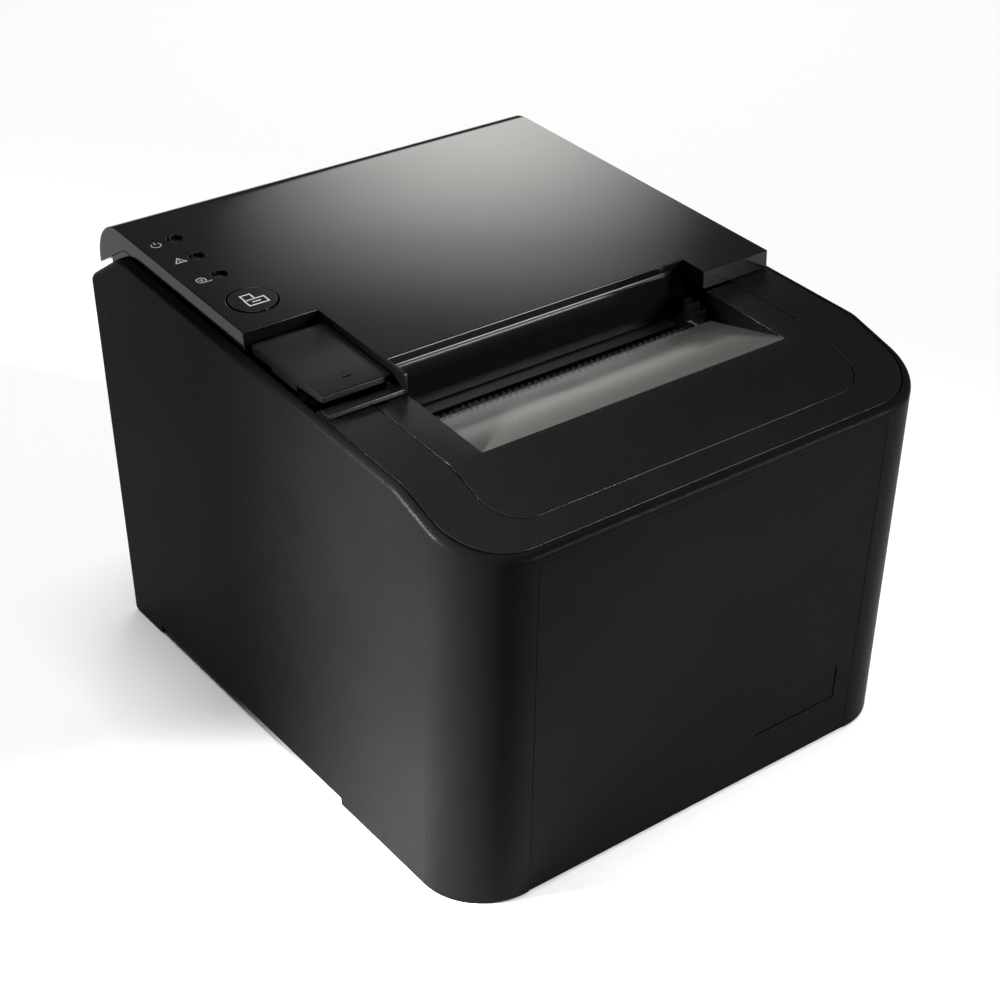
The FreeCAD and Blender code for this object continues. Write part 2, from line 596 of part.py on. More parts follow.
def side_gear(label, teeth, bore, spot, phase):
    """Gear whose axis runs along X, with its Z frame turned onto X."""
    item = doc.addObject("Part::Feature", label)
    solid = gear_solid(value("gear_module"), value(teeth), value("gear_width"), value(bore), phase)
    # local x runs rearwards and local y upwards once the axis points along X
    item.Shape = solid
    turn_ = FreeCAD.Rotation(V(0, 1, 0), V(0, 0, 1), V(1, 0, 0), "XYZ")
    centre = V(value("gear_low"), spot[0] - value("body_depth / 2"), spot[1])
    item.Placement = FreeCAD.Placement(centre, turn_)
    node(label, item)


def angle_between(start, end):
    return math.degrees(math.atan2(end[1] - start[1], end[0] - start[0]))


def build_gears():
    platen = (value("platen_back"), value("platen_height"))
    idler, pinion = gear_spots()
    down = angle_between(platen, idler)
    side_gear("platen_gear", "platen_teeth", "shaft_radius", platen, down)
    gap = 180 / value("idler_teeth")
    up = angle_between(idler, platen)
    side_gear("idler_gear", "idler_teeth", "axle_radius + pin_clear", idler, up + gap)
    across = angle_between(idler, pinion)
    pitch = 360 / value("idler_teeth")
    offset = (across - (up + gap)) / pitch
    part_step = offset - math.floor(offset)
    pinion_pitch = 360 / value("pinion_teeth")
    back_across = across + 180
    # a pinion tooth stands in the gap of the idler that is nearest to the line of centres
    phase = back_across + pinion_pitch / 2 + part_step * pinion_pitch
    side_gear("motor_pinion", "pinion_teeth", "axle_radius", pinion, phase)


def build_mechanism():
    half = "plate_x + plate_thick"
    idler, pinion = gear_spots()
    rise_back, rise_up = platen_frame()
    sides = []
    for side, low, high in (("left", f"-({half})", "-plate_x"), ("right", "plate_x", half)):
        sides.append(prism(f"chassis_{side}", "YZ", [
            ("plate_front", "plate_low"), ("plate_rear", "plate_low"), ("plate_rear", 84),
            ("platen_back + 9", "plate_top"), ("cutter_front", "plate_top"), ("cutter_front", 88),
            ("plate_front", 78)], low, high))
    floor = box("chassis_floor", (f"-({half})", "plate_front", "plate_low"),
                (half, "plate_rear - 24", "plate_low + plate_thick"))
    front = box("chassis_front", (f"-({half})", "plate_front", "plate_low"),
                (half, "plate_front + plate_thick", 62))
    opening = 9.5
    notch_round = rod_x("notch_round", "bush_radius + bush_clear", -60, 60, "platen_back", "platen_height")
    reach = "(bush_radius + bush_clear)"
    notch = prism("notch_way", "YZ", [
        (f"platen_back - {reach}", "platen_height"), (f"platen_back + {reach}", "platen_height"),
        (f"platen_back + {reach} + {rise_back * opening} + 0.6", f"platen_height + {opening}"),
        (f"platen_back - {reach} + {rise_back * opening} - 0.6", f"platen_height + {opening}")], -60, 60)
    axle_hole = rod_x("axle_hole", "axle_radius", 40, 60, idler[0], idler[1])
    motor_hole = rod_x("motor_hole", 5, 40, 60, pinion[0], pinion[1])
    latch_hole = rod_x("latch_hole", "latch_pin_radius + pin_clear", -60, 60, "latch_back", "latch_height")
    screw_holes = [rod_z(f"chassis_screw_{i}", "screw_radius + screw_gap", x, back, 0, 12)
                   for i, (x, back) in enumerate(chassis_fixings())]
    node("chassis", cut("chassis", fuse("chassis_whole", *sides, floor, front), *screw_holes,
                        notch_round, notch, axle_hole, motor_hole, latch_hole))

    node("idler_axle", rod_x("idler_axle", "axle_radius", "plate_x", "gear_low + gear_width + 1.2",
                             idler[0], idler[1]))
    can = rod_x("motor_can", "motor_radius", "plate_x - motor_length", "plate_x", pinion[0], pinion[1])
    boss = rod_x("motor_boss", 4.9, "plate_x", "plate_x + plate_thick", pinion[0], pinion[1])
    bore = rod_x("motor_bore", "axle_radius + pin_clear", "plate_x - 12", 60, pinion[0], pinion[1])
    node("feed_motor", cut("feed_motor", fuse("motor_whole", can, boss), bore))
    node("motor_shaft", rod_x("motor_shaft", "axle_radius", "plate_x - 11", "gear_low + gear_width + 0.5",
                              pinion[0], pinion[1]))

    rubber = rod_x("platen_rubber", "platen_radius", "-platen_half", "platen_half", "platen_back",
                   "platen_height")
    core = rod_x("platen_core", "shaft_radius", -60, 60, "platen_back", "platen_height")
    node("platen_roller", cut("platen_roller", rubber, core))
    node("platen_shaft", rod_x("platen_shaft", "shaft_radius", "-plate_x - 4", "gear_low + gear_width + 0.8",
                               "platen_back", "platen_height"))
    bushes = []
    for side, low, high in (("left", "-plate_x - 1.5", "-plate_x + 1.4"),
                            ("right", "plate_x - 1.4", "plate_x + 1.5")):
        ring = rod_x(f"bush_{side}", "bush_radius", low, high, "platen_back", "platen_height")
        hole = rod_x(f"bush_hole_{side}", "shaft_radius + pin_clear", f"({low}) - 1", f"({high}) + 1",
                     "platen_back", "platen_height")
        bushes.append(cut(f"bush_ring_{side}", ring, hole))
    node("platen_bushes", group("platen_bushes", *bushes))

    pivot = ("platen_back", "platen_height")
    near = "-platen_radius - head_gap"
    head = tilted_box("print_head", ("-head_half", f"{near} - head_thick", -9), ("head_half", near, 2.5),
                      pivot, "head_tilt")
    node("print_head", head)
    sink = tilted_box("heat_sink", ("-head_half - 2", f"{near} - head_thick - sink_thick", -20),
                      ("head_half + 2", f"{near} - head_thick", 2), pivot, "head_tilt")
    node("heat_sink", sink)
    brace = box("head_brace", ("-plate_x", "brace_front", "brace_low"), ("plate_x", "brace_rear", "brace_high"))
    node("head_brace", brace)
    # leaf springs: a foot on the brace and a bent tongue that presses on the heat sink
    springs = []
    for side, x in (("left", -26), ("right", 26)):
        springs.append(prism(f"head_spring_{side}", "YZ", [
            (52, 80), (52.6, 80), (52.6, 80.6), (65, 85.4), (65.4, 86.2), (62.2, 89.8), (61.7, 89.4),
            (64.4, 86.1), (52.6, 81.6), (52.6, 92), (52, 92)], f"{x} - spring_half", f"{x} + spring_half"))
    node("head_springs", group("head_springs", *springs))
    node("head_ribbon", prism("head_ribbon", "YZ", [
        (75.85, 73.6), (76.15, 73.6), (76.15, 16.1), (80.1, 10.2), (95, 10.2), (95, 9.9), (79.9, 9.9),
        (75.85, 16)], -14, 14))


def build_cutter():
    top = "blade_low - 0.1"
    plate = box("cutter_plate", ("-plate_x", "cutter_front", f"{top} - cutter_thick"),
                ("plate_x", "cutter_rear", top))
    hole = rod_z("cutter_hole", 3, "cutter_x", "cutter_back", 90, 110)
    node("cutter_frame", cut("cutter_frame", plate, hole))
    can = rod_z("cutter_motor_can", "cutter_motor_radius", "cutter_x", "cutter_back",
                f"{top} - cutter_thick - cutter_motor_length", f"{top} - cutter_thick")
    bore = rod_z("cutter_motor_bore", 1.06, "cutter_x", "cutter_back", f"{top} - cutter_thick - 8", 110)
    node("cutter_motor", cut("cutter_motor", can, bore))

    rack_line = "cutter_x + cutter_module * cutter_teeth / 2 + cutter_slack"
    deep = "cutter_module * 1.25"
    rise = "cutter_module"
    tooth = math.pi * value("cutter_module")
    slope = math.tan(math.radians(20))
    module = value("cutter_module")
    first = value("cutter_back") - 5 * tooth
    outline = [(f"{rack_line} + {deep}", first)]
    for i in range(7):
        centre = first + (i + 0.5) * tooth
        outline += [(f"{rack_line} + {deep}", centre - tooth / 4 - 1.25 * module * slope),
                    (f"{rack_line} - {rise}", centre - tooth / 4 + module * slope),
                    (f"{rack_line} - {rise}", centre + tooth / 4 - module * slope),
                    (f"{rack_line} + {deep}", centre + tooth / 4 + 1.25 * module * slope)]
    rack_top = first + 7 * tooth + 1
    outline += [(f"{rack_line} + {deep}", rack_top), (f"{rack_line} + {deep} + 3", rack_top),
                (f"{rack_line} + {deep} + 3", first)]
    rack = prism("rack_bar", "XY", outline, "blade_low + blade_thick", "blade_low + blade_thick + 1.4")
    node("blade_rack", rack)
    blade = prism("blade_plate", "XY", [
        ("-blade_half", "blade_front"), ("-16.5", "blade_front"), ("-16.5", first), ("-11", first),
        ("-11", "blade_front"), ("blade_half", "blade_front"), ("blade_half", "blade_rear"),
        (0, "blade_rear - blade_dip"), ("-blade_half", "blade_rear")],
        "blade_low", "blade_low + blade_thick")
    node("moving_blade", blade)

    gear = doc.addObject("Part::Feature", "cutter_pinion_shape")
    low = value("blade_low + blade_thick") + 0.1
    disc = gear_solid(module, value("cutter_teeth"), 1.3, 0.5, 0)
    stem = Part.makeCylinder(1, low - 94, V(0, 0, 94 - low))
    cap = Part.makeCylinder(1, 1.3)
    gear.Shape = disc.fuse([stem, cap]).removeSplitter()
    # the rack holds a tooth gap level with the pinion centre
    gear.Placement = FreeCAD.Placement(
        V(value("cutter_x"), value(behind("cutter_back")), low), FreeCAD.Rotation(V(0, 0, 1), 0))
    node("cutter_pinion", gear)

    node("tear_bar", build_tear_bar())
    low = "blade_low + blade_thick + blade_gap"
    node("fixed_blade", box("fixed_blade", ("-blade_half - 1", "fixed_front", low),
                            ("blade_half + 1", "fixed_rear", f"{low} + fixed_thick")))


def build_tear_bar():
    """Serrated strip along the rear edge of the chute."""
    pitch = 2
    count = 42
    points = [(-count * pitch / 2, "bar_low"), (count * pitch / 2, "bar_low"), (count * pitch / 2, "tooth_root")]
    for i in range(count):
        left = count * pitch / 2 - (i + 1) * pitch
        points += [(left + pitch / 2, "tooth_tip"), (left, "tooth_root")]
    return prism("tear_strip", "XZ", points, "chute_rear", "chute_rear + bar_thick")


def build_bucket():
    block = rod_x("bucket_drum", "roll_radius + bucket_wall", "-bucket_half - bucket_wall",
                  "bucket_half + bucket_wall", "roll_back", "roll_height")
    upper = box("bucket_upper", ("-bucket_half - bucket_wall", "roll_back - roll_radius - bucket_wall",
                                 "roll_height"),
                ("bucket_half + bucket_wall", "roll_back + roll_radius + bucket_wall", "bucket_top"))
    trim = box("bucket_trim", (-60, 60, "bucket_top"), (60, 180, 130))
    hollow = rod_x("bucket_hollow", "roll_radius", "-bucket_half", "bucket_half", "roll_back", "roll_height")
    mouth = box("bucket_mouth", ("-bucket_half", "roll_back - roll_radius", "roll_height"),
                ("bucket_half", "roll_back + roll_radius", 130))
    dip = box("bucket_dip", ("-bucket_half", "roll_back - roll_radius - 5", 84),
              ("bucket_half", "roll_back - roll_radius + 5", 130))
    node("paper_bucket", cut("paper_bucket", fuse("bucket_whole", block, upper), trim, hollow, mouth, dip))
    node("paper_sensor", box("paper_sensor", (-5, "sensor_front", "sensor_low"), (5, "sensor_rear", "sensor_high")))


# ---------------------------------------------------------------- cover
def cover_outline(name, inset, half, low_extra=0):
    """Side outline of the cover with the rolled rear, inset from its outer skin."""
    front = f"cover_front + ({inset})"
    rear = f"cover_rear - ({inset})"
    drop = f"cover_gap - ({low_extra})"
    return prism(name, "YZ", [
        (front, deck(front, drop)), (front, cover_top(front, f"-({inset})")),
        (rear, cover_top(rear, f"-({inset})")), (rear, f"cover_tail - ({low_extra})"),
        ("crest_back + 1.5", deck("crest_back", f"cover_gap + 0.4 - ({low_extra})"))],
        f"-({half})", half, rounds={2: f"cover_roll - ({inset})"})


def build_roll_cover():
    outer = cover_outline("cover_outer", 0, "cover_half")
    inner = cover_outline("cover_inner", "cover_wall", "cover_half - cover_wall", 20)
    bay = box("cover_bay", ("-bay_half", 40, 90), ("bay_half", "bay_rear", 140))
    slot = box("cover_key_slot", ("-cover_half - 5", 40, 90), ("-key_slot_inner", "key_slot_rear", 140))
    shell = cut("cover_hollow", outer, inner)
    shell = cut("cover_opened", shell, bay, slot)

    lintel = prism("cover_lintel", "YZ", [
        ("bay_rear", "mouth_low"), ("bay_rear", cover_top("bay_rear")),
        ("bay_rear + 7", cover_top("bay_rear + 7")), ("bay_rear + 7", cover_top("bay_rear + 7", -1.5)),
        ("bay_rear + 2", cover_top("bay_rear + 2", -3.5)), ("bay_rear + 2", "mouth_low")],
        "-bay_half - 1", "bay_half + 1", rounds={1: "mouth_roll"})
    inner_right = prism("cover_cheek_right", "YZ", [
        ("cover_front", deck("cover_front", "cover_gap")), ("cover_front", cover_top("cover_front")),
        ("bay_rear + 6", cover_top("bay_rear + 6")), ("bay_rear + 6", deck("bay_rear + 6", "cover_gap"))],
        "bay_half", "bay_half + 1.6")
    inner_left = prism("cover_cheek_left", "YZ", [
        ("cover_front", deck("cover_front", "cover_gap")), ("cover_front", cover_top("cover_front")),
        ("bay_rear + 30", cover_top("bay_rear + 30")), ("bay_rear + 30", deck("bay_rear + 30", "cover_gap"))],
        "-key_slot_inner", "-bay_half")
    back_wall = prism("key_back_wall", "YZ", [
        ("key_slot_rear", deck("key_slot_rear", "cover_gap")), ("key_slot_rear", cover_top("key_slot_rear")),
        ("key_slot_rear + 1.5", cover_top("key_slot_rear + 1.5")),
        ("key_slot_rear + 1.5", deck("key_slot_rear + 1.5", "cover_gap"))],
        "-cover_half", "-key_slot_inner + 1")
    ledge = prism("key_ledge_bar", "YZ", [
        ("cover_front", deck("cover_front", "cover_gap")),
        ("cover_front", deck("cover_front", "cover_gap + key_ledge")),
        ("cover_front + key_ledge_depth", deck("cover_front + key_ledge_depth", "cover_gap + key_ledge")),
        ("cover_front + key_ledge_depth", deck("cover_front + key_ledge_depth", "cover_gap"))],
        "-cover_half", "-key_slot_inner + 0.6")
    lugs = []
    for side, low, high in (("left", "-cover_half + 0.1", "-cover_half + 0.1 + hinge_lug_thick"),
                            ("right", "cover_half - 0.1 - hinge_lug_thick", "cover_half - 0.1")):
        disc = rod_x(f"lug_disc_{side}", "hinge_lug_radius", low, high, "hinge_back", "hinge_height")
        stem = box(f"lug_stem_{side}", (low, "hinge_back - hinge_lug_radius", "hinge_height"),
                   (high, "hinge_back + hinge_lug_radius", cover_top("hinge_back - hinge_lug_radius", -1)))
        lugs += [disc, stem]
    whole = fuse("cover_whole", shell, lintel, inner_right, inner_left, back_wall, ledge, *lugs)

    bore = rod_x("cover_pin_bore", "hinge_pin_radius", -80, 80, "hinge_back", "hinge_height")
    lens_holes = [rod_normal(f"lens_hole_{i}", "lens_radius", back, -6, 4)
                  for i, back in enumerate(lens_places())]
    feed_hole = rod_normal("feed_hole", "feed_radius + feed_clear", "feed_back", -6, 4)
    key_bore = rod_x("key_bore", "key_axle_radius + pin_clear", "-cover_half - 2", "-bay_half - 0.5",
                     "key_axle_back", cover_top("key_axle_back", -4))
    node("roll_cover", cut("roll_cover", whole, bore, feed_hole, key_bore, *lens_holes))

    node("hinge_pins", group("hinge_pins", *[
        rod_x(f"hinge_pin_{side}", "hinge_pin_radius", low, high, "hinge_back", "hinge_height")
        for side, low, high in (("left", "-cover_half - 1.6", "-cover_half + 5"),
                                ("right", "cover_half - 5", "cover_half + 1.6"))]))

    for label, back in zip(("paper_lens", "error_lens", "power_lens"), lens_places()):
        node(label, rod_normal(label, "lens_radius", back, -3.6, "-lens_sink"))
    board = prism("panel_board", "YZ", [
        (105, cover_top(105, -6.4)), (105, cover_top(105, -5.2)),
        (162, cover_top(162, -5.2)), (162, cover_top(162, -6.4))],
        "-cover_half + 4.2", "-cover_half + 18")
    node("panel_board", board)


def lens_places():
    return [f"lens_first + {i} * lens_pitch" for i in range(3)]


def build_keys():
    node("feed_button", rod_normal("feed_button", "feed_radius", "feed_back", -3, "feed_stand"))
    node("feed_switch", rod_normal("feed_switch", 3, "feed_back", -5.1, -4))

    body = prism("key_body", "YZ", [
        ("key_front", "key_underside"), ("key_front", cover_top("key_front", "-key_drop")),
        ("key_rear", cover_top("key_rear", "-key_drop")),
        ("key_rear + 3", cover_top("key_rear + 3", "-key_drop - 1.6")),
        ("key_rear + 3", cover_top("key_rear + 3", -5.6)), ("key_rear - 6", cover_top("key_rear - 6", -5.2)),
        ("key_rear - 6", 112), ("key_front + 12", 112), ("key_front + 12", "key_underside")],
        "-key_outer", "-key_inner", rounds={1: "key_round"})
    slim = box("key_slim", (-60, "key_front + 11", 100), (-40, "key_rear - 5", 118.2))
    axle = rod_x("key_axle", "key_axle_radius", "-key_outer", "-bay_half - 0.6", "key_axle_back",
                 cover_top("key_axle_back", -4))
    node("open_button", fuse("open_button", cut("key_shaped", body, slim), axle))


def build_liner():
    """Inner frame of the cover: a roof plate with two arms that carry the platen."""
    roof = prism("liner_roof", "YZ", [
        (76, cover_top(76, -5)), (76, cover_top(76, -3)), (158, cover_top(158, -3)),
        (158, cover_top(158, -5))], "-bay_half + 0.4", "bay_half + 8")
    arms = [prism(f"liner_arm_{side}", "YZ", [
        (74, cover_top(74, -4)), (100, cover_top(100, -4)), ("platen_back + 7", "platen_height - 2"),
        ("platen_back + 3", "platen_height - 5"), ("platen_back - 3", "platen_height - 5"),
        ("platen_back - 5", "platen_height"), ("bay_rear + 3", 106.5)], low, high)
        for side, low, high in (("left", -46.6, -43.8), ("right", 43.8, 46.6))]
    guide = prism("liner_guide", "YZ", [
        ("bay_rear + 2.4", 106.4), ("bay_rear + 2.4", 110), (76, cover_top(76, -4)), (78, cover_top(78, -4)),
        ("bay_rear + 5.4", 108), ("bay_rear + 5.4", 106.4)], -44, 44)
    bore = rod_x("liner_bore", "shaft_radius + pin_clear", -60, 60, "platen_back", "platen_height")
    node("cover_liner", cut("cover_liner", fuse("liner_whole", roof, guide, *arms), bore))


def build_latches():
    """Hooked levers outside the chassis plates that seat against the platen shaft."""
    near = "plate_x + plate_thick + 0.7"
    far = "plate_x + plate_thick + 2"
    levers = [prism(f"latch_{side}", "YZ", [
        (34, 71), (38, 67.6), (42, 70), (66, 86), (70.8, 93.0), (70.6, 95.6), (66.4, 93.6), (62, 88)],
        low, high) for side, low, high in (("left", f"-({far})", f"-({near})"), ("right", near, far))]
    pivot = rod_x("latch_pivot", "latch_pin_radius", f"-({far})", far, "latch_back", "latch_height")
    node("latch_levers", fuse("latch_levers", *levers, pivot))


build_main_shell()
build_front_panel()
build_bezel()
build_cutter_cover()
build_rear_case()
build_base()
build_electronics()
build_mechanism()
build_gears()
build_cutter()
build_bucket()
build_roll_cover()
build_keys()
build_liner()
build_latches()

doc.recompute()
failed = [item.Name for item in doc.Objects if {"Invalid", "Error"} & set(item.State)]
if failed:
    raise RuntimeError(f"these did not build: {failed}")
for label, item in NODES.items():
    if item.Shape.isNull() or not item.Shape.isValid() or not item.Shape.Solids:
        raise RuntimeError(f"{label} has no valid solid")
    item.Shape.exportStep(f"parts/{label}.step")
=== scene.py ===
import json
import math

import bpy
from mathutils import Matrix, Vector

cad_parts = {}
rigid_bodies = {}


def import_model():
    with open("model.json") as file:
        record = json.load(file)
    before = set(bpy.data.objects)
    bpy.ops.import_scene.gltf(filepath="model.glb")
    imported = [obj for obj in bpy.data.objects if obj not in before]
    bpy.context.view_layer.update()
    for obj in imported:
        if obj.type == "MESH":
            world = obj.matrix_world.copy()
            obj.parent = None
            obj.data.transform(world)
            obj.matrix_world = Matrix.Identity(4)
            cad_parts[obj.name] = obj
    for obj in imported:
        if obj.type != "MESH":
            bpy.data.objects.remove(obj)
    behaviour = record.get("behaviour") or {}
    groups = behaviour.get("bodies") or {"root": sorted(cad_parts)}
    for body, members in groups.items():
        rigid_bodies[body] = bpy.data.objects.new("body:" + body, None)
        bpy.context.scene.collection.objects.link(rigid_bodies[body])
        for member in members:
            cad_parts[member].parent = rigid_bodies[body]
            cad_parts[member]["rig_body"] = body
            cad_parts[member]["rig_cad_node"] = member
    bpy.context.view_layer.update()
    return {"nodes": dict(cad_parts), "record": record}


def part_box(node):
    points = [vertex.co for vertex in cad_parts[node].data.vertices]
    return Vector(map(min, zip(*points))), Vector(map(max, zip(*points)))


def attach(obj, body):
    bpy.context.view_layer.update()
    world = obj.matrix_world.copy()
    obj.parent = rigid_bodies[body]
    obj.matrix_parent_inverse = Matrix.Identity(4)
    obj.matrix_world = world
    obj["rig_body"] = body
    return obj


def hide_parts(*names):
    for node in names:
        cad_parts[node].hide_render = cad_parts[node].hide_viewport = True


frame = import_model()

nodes = frame["nodes"]
MM = 0.001

# ------------------------------------------------------------ planes the small pieces sit on
DECK_TILT = math.atan(0.0837)
COVER_LINE_Y = -0.06175
COVER_LINE_Z = 0.11885
KEY_DROP = 0.0016
PANEL_X = -0.0592
FEED_Y = 0.02175
FEED_STAND = 0.0002
POWER_AT = (-0.0652, 0.0626)
ALARM_AT = (-0.0643, 0.0510)
ROLL_AT = (-0.0649, 0.0383)
ARROW_AT = (-0.0579, -0.0203)
# Bounds of the chute floor whose faces get the painted reflection colour.
CHUTE_HALF = 0.0474
CHUTE_FRONT_Y = -0.062
CHUTE_REAR_Y = -0.0336
CHUTE_LOW_Z = 0.107
PLUG_FLOOR_Y = 0.08125
WARM_WHITE = (1.0, 0.99, 0.96)


def cover_z(y):
    """Height of the cover's flat top at a given y."""
    return COVER_LINE_Z + math.tan(DECK_TILT) * (y - COVER_LINE_Y)


# ------------------------------------------------------------ material building
def new_group(name, inputs, outputs):
    group = bpy.data.node_groups.new(name, "ShaderNodeTree")
    for label, default in inputs:
        socket = group.interface.new_socket(label, in_out="INPUT", socket_type="NodeSocketFloat")
        socket.default_value = default
    for label in outputs:
        group.interface.new_socket(label, in_out="OUTPUT", socket_type="NodeSocketFloat")
    return group, group.nodes.new("NodeGroupInput"), group.nodes.new("NodeGroupOutput")


def math_node(tree, operation, a, b=None, clamp=False):
    node = tree.nodes.new("ShaderNodeMath")
    node.operation = operation
    node.use_clamp = clamp
    for slot, source in zip(node.inputs, (a, b)):
        if source is None:
            continue
        if isinstance(source, (int, float)):
            slot.default_value = source
        else:
            tree.links.new(source, slot)
    return node.outputs[0]


def noise(tree, vector, scale, detail=2.0, roughness=0.5):
    node = tree.nodes.new("ShaderNodeTexNoise")
    node.inputs["Detail"].default_value = detail
    node.inputs["Roughness"].default_value = roughness
    if isinstance(scale, (int, float)):
        node.inputs["Scale"].default_value = scale
    else:
        tree.links.new(scale, node.inputs["Scale"])
    tree.links.new(vector, node.inputs["Vector"])
    return node.outputs["Fac"]


def object_coordinates(tree, stretch=None):
    coordinates = tree.nodes.new("ShaderNodeTexCoord")
    if stretch is None:
        return coordinates.outputs["Object"]
    mapping = tree.nodes.new("ShaderNodeMapping")
    mapping.inputs["Scale"].default_value = stretch
    tree.links.new(coordinates.outputs["Object"], mapping.inputs["Vector"])
    return mapping.outputs["Vector"]


def build_grain_group():
    """Spark-eroded mould texture: rounded pits of two sizes, with slow variation in shine."""
    group, start, end = new_group(
        "moulded_grain", (("Pit Scale", 2600.0), ("Roughness", 0.45), ("Spread", 0.1)),
        ("Roughness", "Height"))
    where = object_coordinates(group)
    pits = group.nodes.new("ShaderNodeTexVoronoi")
    pits.feature = "SMOOTH_F1"
    group.links.new(start.outputs["Pit Scale"], pits.inputs["Scale"])
    group.links.new(where, pits.inputs["Vector"])
    fine = noise(group, where, math_node(group, "MULTIPLY", start.outputs["Pit Scale"], 0.6), 3.0, 0.6)
    height = math_node(group, "ADD", pits.outputs["Distance"], fine)
    slow = noise(group, where, 28.0, 3.0, 0.55)
    drift = math_node(group, "MULTIPLY", math_node(group, "SUBTRACT", slow, 0.5), start.outputs["Spread"])
    pocket = math_node(group, "MULTIPLY", math_node(group, "SUBTRACT", fine, 0.5), 0.25)
    cloudy = math_node(group, "ADD", start.outputs["Roughness"], drift)
    rough = math_node(group, "ADD", cloudy, pocket, clamp=True)
    group.links.new(rough, end.inputs["Roughness"])
    group.links.new(height, end.inputs["Height"])
    return group


def build_polish_group():
    """Polished plastic: slight orange peel, hairline wiping marks and a trace of dust."""
    group, start, end = new_group(
        "polished_skin", (("Roughness", 0.08), ("Marks", 0.05)), ("Roughness", "Height", "Dust"))
    where = object_coordinates(group)
    peel = noise(group, where, 130.0, 1.0, 0.4)
    wiping = noise(group, object_coordinates(group, (60.0, 900.0, 200.0)), 1.0, 4.0, 0.7)
    smears = noise(group, where, 22.0, 3.0, 0.6)
    marks = math_node(group, "MULTIPLY", math_node(group, "MULTIPLY", wiping, smears), start.outputs["Marks"])
    rough = math_node(group, "ADD", start.outputs["Roughness"], marks, clamp=True)
    specks = group.nodes.new("ShaderNodeTexVoronoi")
    specks.inputs["Scale"].default_value = 420.0
    group.links.new(where, specks.inputs["Vector"])
    dust = math_node(group, "LESS_THAN", specks.outputs["Distance"], 0.05)
    group.links.new(rough, end.inputs["Roughness"])
    group.links.new(peel, end.inputs["Height"])
    group.links.new(dust, end.inputs["Dust"])
    return group


def build_brush_group():
    """Rolled or ground metal: fine lines along one direction and cloudy plating."""
    group, start, end = new_group(
        "brushed_lines", (("Line Scale", 1.0), ("Roughness", 0.3), ("Cloud", 0.12)),
        ("Roughness", "Height", "Cloud"))
    along = object_coordinates(group, (90.0, 2600.0, 2600.0))
    lines = noise(group, along, start.outputs["Line Scale"], 3.0, 0.6)
    cloud = noise(group, object_coordinates(group), 90.0, 4.0, 0.6)
    swing = math_node(group, "MULTIPLY", math_node(group, "SUBTRACT", cloud, 0.5), start.outputs["Cloud"])
    rough = math_node(group, "ADD", math_node(group, "ADD", start.outputs["Roughness"], swing),
                      math_node(group, "MULTIPLY", lines, 0.12), clamp=True)
    group.links.new(rough, end.inputs["Roughness"])
    group.links.new(lines, end.inputs["Height"])
    group.links.new(cloud, end.inputs["Cloud"])
    return group


GRAIN = build_grain_group()
POLISH = build_polish_group()
BRUSH = build_brush_group()


def start_material(name, group, settings, metallic=0.0, specular=0.5):
    """A material with one Principled shader, fed by one of the shared groups."""
    material = bpy.data.materials.new(name)
    material.use_nodes = True
    tree = material.node_tree
    shader = tree.nodes["Principled BSDF"]
    shader.inputs["Metallic"].default_value = metallic
    shader.inputs["Specular IOR Level"].default_value = specular
    effect = tree.nodes.new("ShaderNodeGroup")
    effect.node_tree = group
    for label, amount in settings.items():
        effect.inputs[label].default_value = amount
    tree.links.new(effect.outputs["Roughness"], shader.inputs["Roughness"])
    return material, tree, shader, effect


def add_bump(tree, shader, height, distance, strength=1.0):
    bump = tree.nodes.new("ShaderNodeBump")
    bump.inputs["Distance"].default_value = distance
    bump.inputs["Strength"].default_value = strength
    tree.links.new(height, bump.inputs["Height"])
    tree.links.new(bump.outputs["Normal"], shader.inputs["Normal"])


def two_tones(tree, shader, factor, dark, light):
    mix = tree.nodes.new("ShaderNodeMix")
    mix.data_type = "RGBA"
    mix.inputs["A"].default_value = (*dark, 1.0)
    mix.inputs["B"].default_value = (*light, 1.0)
    tree.links.new(factor, mix.inputs["Factor"])
    tree.links.new(mix.outputs["Result"], shader.inputs["Base Color"])


def grained_plastic(name, colour, roughness=0.45, pits=2600.0, depth=0.00003, specular=0.5, spread=0.1):
    material, tree, shader, grain = start_material(
        name, GRAIN, {"Pit Scale": pits, "Roughness": roughness, "Spread": spread}, specular=specular)
    tone = noise(tree, object_coordinates(tree), 45.0, 3.0)
    two_tones(tree, shader, tone, [c * 0.8 for c in colour], [c * 1.2 for c in colour])
    add_bump(tree, shader, grain.outputs["Height"], depth)
    return material


def polished_plastic(name, colour, roughness=0.06, marks=0.08, peel=0.000004, specular=0.5, coat=0.0):
    material, tree, shader, skin = start_material(
        name, POLISH, {"Roughness": roughness, "Marks": marks}, specular=specular)
    two_tones(tree, shader, skin.outputs["Dust"], colour, [c * 1.6 + 0.004 for c in colour])
    shader.inputs["Coat Weight"].default_value = coat
    shader.inputs["Coat Roughness"].default_value = 0.03
    add_bump(tree, shader, skin.outputs["Height"], peel)
    return material


def worked_metal(name, colour, roughness=0.28, lines=1.0, depth=0.00001, cloud=0.14):
    material, tree, shader, brush = start_material(
        name, BRUSH, {"Line Scale": lines, "Roughness": roughness, "Cloud": cloud}, metallic=1.0)
    two_tones(tree, shader, brush.outputs["Cloud"], [c * 0.82 for c in colour], colour)
    add_bump(tree, shader, brush.outputs["Height"], depth)
    return material


